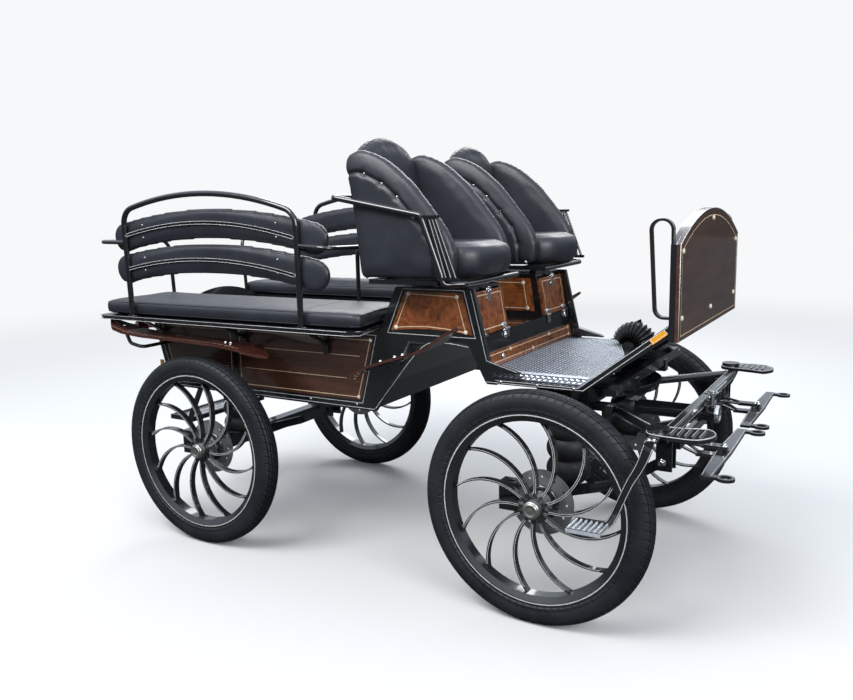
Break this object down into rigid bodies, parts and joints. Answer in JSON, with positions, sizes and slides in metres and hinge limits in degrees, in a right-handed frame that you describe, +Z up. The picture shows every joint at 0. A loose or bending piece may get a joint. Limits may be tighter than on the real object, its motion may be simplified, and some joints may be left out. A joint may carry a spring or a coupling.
{
  "type": "horse drawn carriage",
  "caption": "Open wagonette with a driver's box, facing benches, swirl spoke wheels, air bellows and a front carriage that steers on a turntable.",
  "frame": {"origin": "on the ground at the middle of the overall box", "axes": "+X forward, the way the horses pull; +Y to the carriage's left; +Z up"},
  "size_m": [2.8499, 1.644, 1.7458],
  "materials": {
    "black_gloss_paint": "high gloss",
    "wheel_black": "high gloss with silver lines",
    "tyre": "matte",
    "black_rubber": "satin",
    "black_leather": "satin",
    "dark_veneer": "gloss lacquer with pale inlay lines",
    "burl_veneer": "gloss lacquer with pale inlay lines",
    "guard_wood": "gloss lacquer",
    "tread_plate": "raised bar pattern",
    "step_steel": "gloss, with bare serrated treads",
    "hub_steel": "satin",
    "chrome": "polished",
    "red_lamp": "gloss",
    "amber_reflector": "gloss"
  },
  "bodies": {
    "carriage_body": {"side_frames": "black_gloss_paint", "rear_side_panels": "dark_veneer", "box_side_panels": "burl_veneer", "floor_and_bulkhead": "black_gloss_paint", "pedestal_boxes": "black_gloss_paint", "hatch_hinges": "chrome", "riser_strip": "burl_veneer", "footboard_plate": "tread_plate", "toe_board": "black_gloss_paint", "brake_boot": "black_rubber", "side_reflectors": "amber_reflector", "rear_lamps": "red_lamp", "dash_panel": "dark_veneer", "dash_frame": "black_gloss_paint", "bench_frames": "black_gloss_paint", "bench_cushions": "black_leather", "backrest_frames": "black_gloss_paint", "arm_rails": "black_gloss_paint", "backrest_slats": "black_leather", "seat_shells": "black_leather", "seat_cushions": "black_leather", "seat_rail": "black_gloss_paint", "seat_base_frame": "black_gloss_paint", "rear_end_frame": "black_gloss_paint", "rear_end_panels": "dark_veneer", "rear_door_hinges": "chrome", "rear_step": "step_steel", "mudguards": "guard_wood", "mudguard_brackets": "black_gloss_paint", "rear_axle": "black_gloss_paint", "rear_bellows": "black_rubber", "turntable_upper": "black_gloss_paint"},
    "front_carriage": {"turntable_lower": "black_gloss_paint", "front_frame": "black_gloss_paint", "front_axle": "black_gloss_paint", "front_bellows": "black_rubber", "foot_plates": "black_gloss_paint", "side_steps": "step_steel", "pole_socket": "black_gloss_paint", "pole_pin": "chrome", "draught_brackets": "black_gloss_paint"},
    "rear_right_road_wheel": {"rear_right_wheel": "wheel_black", "rear_right_tyre": "tyre", "rear_right_hub": "hub_steel"},
    "rear_left_road_wheel": {"rear_left_wheel": "wheel_black", "rear_left_tyre": "tyre", "rear_left_hub": "hub_steel"},
    "front_right_road_wheel": {"front_right_wheel": "wheel_black", "front_right_tyre": "tyre", "front_right_hub": "hub_steel"},
    "front_left_road_wheel": {"front_left_wheel": "wheel_black", "front_left_tyre": "tyre", "front_left_hub": "hub_steel"},
    "hatch_right_leaf": {"hatch_right": "burl_veneer", "hatch_latch_right": "chrome"},
    "hatch_left_leaf": {"hatch_left": "burl_veneer", "hatch_latch_left": "chrome"},
    "rear_door_leaf": {"rear_door": "dark_veneer"},
    "swingletree_right_bar": {"swingletree_right": "black_gloss_paint"},
    "swingletree_left_bar": {"swingletree_left": "black_gloss_paint"}
  },
  "joints": [
    {"name": "steering_turntable", "type": "hinge", "parent": "carriage_body", "child": "front_carriage", "pos_m": [0.765, 0, 0.762], "axis": [0, 0, 1], "range_deg": [-35, 35]},
    {"name": "rear_right_wheel_spin", "type": "hinge", "parent": "carriage_body", "child": "rear_right_road_wheel", "pos_m": [-0.83, -0.645, 0.425], "axis": [0, 1, 0], "continuous": true},
    {"name": "rear_left_wheel_spin", "type": "hinge", "parent": "carriage_body", "child": "rear_left_road_wheel", "pos_m": [-0.83, 0.645, 0.425], "axis": [0, 1, 0], "continuous": true},
    {"name": "front_right_wheel_spin", "type": "hinge", "parent": "front_carriage", "child": "front_right_road_wheel", "pos_m": [0.765, -0.645, 0.425], "axis": [0, 1, 0], "continuous": true},
    {"name": "front_left_wheel_spin", "type": "hinge", "parent": "front_carriage", "child": "front_left_road_wheel", "pos_m": [0.765, 0.645, 0.425], "axis": [0, 1, 0], "continuous": true},
    {"name": "hatch_right_hinge", "type": "hinge", "parent": "carriage_body", "child": "hatch_right_leaf", "pos_m": [0.465, -0.32325, 0.986], "axis": [0, 1, 0], "range_deg": [0, 115]},
    {"name": "hatch_left_hinge", "type": "hinge", "parent": "carriage_body", "child": "hatch_left_leaf", "pos_m": [0.465, 0.32325, 0.986], "axis": [0, 1, 0], "range_deg": [0, 115]},
    {"name": "rear_door_hinge", "type": "hinge", "parent": "carriage_body", "child": "rear_door_leaf", "pos_m": [-1.22623, 0.25, 0.8178], "axis": [0.2766, 0, -0.961], "range_deg": [0, 90]},
    {"name": "swingletree_right_pivot", "type": "hinge", "parent": "front_carriage", "child": "swingletree_right_bar", "pos_m": [1.337, -0.34, 0.622], "axis": [0, 0, 1], "range_deg": [-25, 25]},
    {"name": "swingletree_left_pivot", "type": "hinge", "parent": "front_carriage", "child": "swingletree_left_bar", "pos_m": [1.337, 0.34, 0.622], "axis": [0, 0, 1], "range_deg": [-25, 25]}
  ]
}
